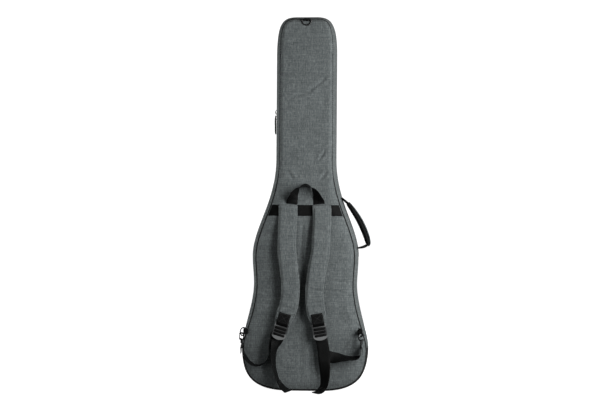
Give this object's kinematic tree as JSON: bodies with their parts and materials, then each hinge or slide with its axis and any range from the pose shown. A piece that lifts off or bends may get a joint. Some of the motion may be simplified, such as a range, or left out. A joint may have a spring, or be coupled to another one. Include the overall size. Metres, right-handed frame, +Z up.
{
  "type": "padded gig bag",
  "caption": "Tall padded bag in the outline of a bass guitar, with a zipped lid, shoulder straps with ladder locks and snap hooks, a grab loop and a side carry handle.",
  "frame": {"origin": "centre of the flat base that the bag stands on, in the middle plane between the back seam and the front seam", "axes": "+Z up along the bag from its base to its head; -Y out of the back panel that carries the shoulder straps; +X towards the side with the carry handle"},
  "size_m": [0.4382, 0.2228, 1.26],
  "materials": {
    "heather": "woven heather, matt",
    "piping": "woven, matt",
    "foam": "open foam",
    "lining": "short pile",
    "guard": "satin",
    "zip": "woven tape, matt",
    "webbing": "woven webbing, matt",
    "mesh": "air mesh",
    "lock": "moulded, satin",
    "metal": "nickel plated, satin",
    "black_metal": "black, satin",
    "pull": "moulded, matt"
  },
  "bodies": {
    "back_shell": {"back_panel": "heather", "back_foam": "foam", "back_lining": "lining", "rear_gusset": "heather", "rear_gusset_foam": "foam", "rear_base_guard": "guard", "back_piping": "piping", "rear_zip_tape": "zip", "rear_zip_coil": "zip", "spine_strip": "zip", "shoulder_band": "webbing", "top_ring_tab": "webbing", "left_ring_tab": "webbing", "right_ring_tab": "webbing", "left_eye": "metal", "right_eye": "metal", "neck_cradle": "lining", "end_pad": "lining"},
    "lid": {"front_panel": "heather", "front_foam": "foam", "front_lining": "lining", "front_gusset": "heather", "front_gusset_foam": "foam", "front_base_guard": "guard", "front_piping": "piping", "front_zip_tape": "zip", "front_zip_coil": "zip", "body_pocket": "heather", "body_pocket_zip": "zip"},
    "upper_slider": {"upper_slider": "metal"},
    "lower_slider": {"lower_slider": "metal"},
    "upper_pull": {"upper_pull": "pull"},
    "lower_pull": {"lower_pull": "pull"},
    "pocket_slider": {"body_pocket_slider": "metal"},
    "pocket_pull": {"body_pocket_pull": "pull"},
    "top_ring": {"top_ring": "black_metal"},
    "grab_loop": {"grab_loop": "webbing"},
    "handle": {"handle_strap": "webbing", "handle_grip": "heather", "handle_liner": "webbing"},
    "neck_strap": {"neck_strap": "webbing"},
    "left_ring": {"left_ring": "metal"},
    "left_hook": {"left_hook": "metal"},
    "left_gate": {"left_gate": "metal"},
    "left_strap": {"left_pad": "heather", "left_mesh": "mesh", "left_patch": "webbing", "left_webbing": "webbing"},
    "left_lock": {"left_lock": "lock", "left_tail": "webbing"},
    "right_ring": {"right_ring": "metal"},
    "right_hook": {"right_hook": "metal"},
    "right_gate": {"right_gate": "metal"},
    "right_strap": {"right_pad": "heather", "right_mesh": "mesh", "right_patch": "webbing", "right_webbing": "webbing"},
    "right_lock": {"right_lock": "lock", "right_tail": "webbing"}
  },
  "joints": [
    {"name": "lid_hinge", "type": "hinge", "parent": "back_shell", "child": "lid", "pos_m": [0.216, 0.014, 0.146], "axis": [0.1134, 0, -0.9936], "range_deg": [0, 90], "deforming": ["spine_strip"]},
    {"name": "upper_slider_slide", "type": "slide", "parent": "back_shell", "child": "upper_slider", "axis": [0, 0, 1], "range_m": [0, 0.17]},
    {"name": "lower_slider_slide", "type": "slide", "parent": "back_shell", "child": "lower_slider", "axis": [0, 0, 1], "range_m": [-0.12, 0]},
    {"name": "upper_pull_swing", "type": "hinge", "parent": "upper_slider", "child": "upper_pull", "pos_m": [-0.10501, 0.011, 0.9394], "axis": [0, 1, 0], "range_deg": [0, 150]},
    {"name": "lower_pull_swing", "type": "hinge", "parent": "lower_slider", "child": "lower_pull", "pos_m": [-0.10501, 0.017, 0.9194], "axis": [0, 1, 0], "range_deg": [0, 150]},
    {"name": "pocket_slider_slide", "type": "slide", "parent": "lid", "child": "pocket_slider", "axis": [1, 0, 0], "range_m": [0, 0.16]},
    {"name": "pocket_pull_swing", "type": "hinge", "parent": "pocket_slider", "child": "pocket_pull", "pos_m": [-0.08, 0.08495, 0.4234], "axis": [1, 0, 0], "range_deg": [0, 150]},
    {"name": "top_ring_swing", "type": "hinge", "parent": "back_shell", "child": "top_ring", "pos_m": [0, -0.0644, 1.245], "axis": [-1, 0, 0], "range_deg": [0, 150]},
    {"name": "left_ring_swing", "type": "hinge", "parent": "back_shell", "child": "left_ring", "pos_m": [-0.20088, -0.07581, 0.2], "axis": [0, 0, 1], "range_deg": [-12, 12]},
    {"name": "left_hook_swivel", "type": "hinge", "parent": "back_shell", "child": "left_hook", "pos_m": [-0.20897, -0.0866, 0.16832], "axis": [0, 0, 1], "range_deg": [-15, 15]},
    {"name": "left_gate_open", "type": "hinge", "parent": "left_hook", "child": "left_gate", "pos_m": [-0.21402, -0.08282, 0.17631], "axis": [0.6, 0.8, 0], "range_deg": [0, 18], "stiffness_Nm_per_rad": 0.02},
    {"name": "left_strap_lift", "type": "hinge", "parent": "back_shell", "child": "left_strap", "pos_m": [-0.057, -0.0639, 0.622], "axis": [-1, 0, 0], "range_deg": [0, 20], "deforming": ["left_webbing"]},
    {"name": "left_lock_tilt", "type": "hinge", "parent": "left_strap", "child": "left_lock", "pos_m": [-0.07492, -0.0879, 0.22444], "axis": [-0.9563, 0, 0.2924], "range_deg": [0, 25], "deforming": ["left_webbing"]},
    {"name": "right_ring_swing", "type": "hinge", "parent": "back_shell", "child": "right_ring", "pos_m": [0.18108, -0.07581, 0.2], "axis": [0, 0, 1], "range_deg": [-12, 12]},
    {"name": "right_hook_swivel", "type": "hinge", "parent": "back_shell", "child": "right_hook", "pos_m": [0.18971, -0.0862, 0.16832], "axis": [0, 0, 1], "range_deg": [-15, 15]},
    {"name": "right_gate_open", "type": "hinge", "parent": "right_hook", "child": "right_gate", "pos_m": [0.19457, -0.08216, 0.17631], "axis": [0.6392, -0.769, 0], "range_deg": [0, 18], "stiffness_Nm_per_rad": 0.02},
    {"name": "right_strap_lift", "type": "hinge", "parent": "back_shell", "child": "right_strap", "pos_m": [0.055, -0.0639, 0.622], "axis": [-1, 0, 0], "range_deg": [0, 20], "deforming": ["right_webbing"]},
    {"name": "right_lock_tilt", "type": "hinge", "parent": "right_strap", "child": "right_lock", "pos_m": [0.04774, -0.0869, 0.22415], "axis": [-0.9848, 0, -0.1736], "range_deg": [0, 25], "deforming": ["right_webbing"]},
    {"name": "grab_loop_flex", "type": "hinge", "parent": "back_shell", "child": "grab_loop", "pos_m": [0, -0.0614, 0.626], "axis": [1, 0, 0], "range_deg": [0, 52], "stiffness_Nm_per_rad": 0.06},
    {"name": "handle_flex", "type": "hinge", "parent": "back_shell", "child": "handle", "pos_m": [0.1177, -0.025, 0.65017], "axis": [0.3041, 0, -0.9526], "range_deg": [-20, 25], "stiffness_Nm_per_rad": 0.4, "deforming": ["handle_strap"]},
    {"name": "neck_strap_open", "type": "hinge", "parent": "back_shell", "child": "neck_strap", "pos_m": [-0.0715, -0.0069, 0.83], "axis": [0, 0, 1], "range_deg": [0, 18]}
  ]
}
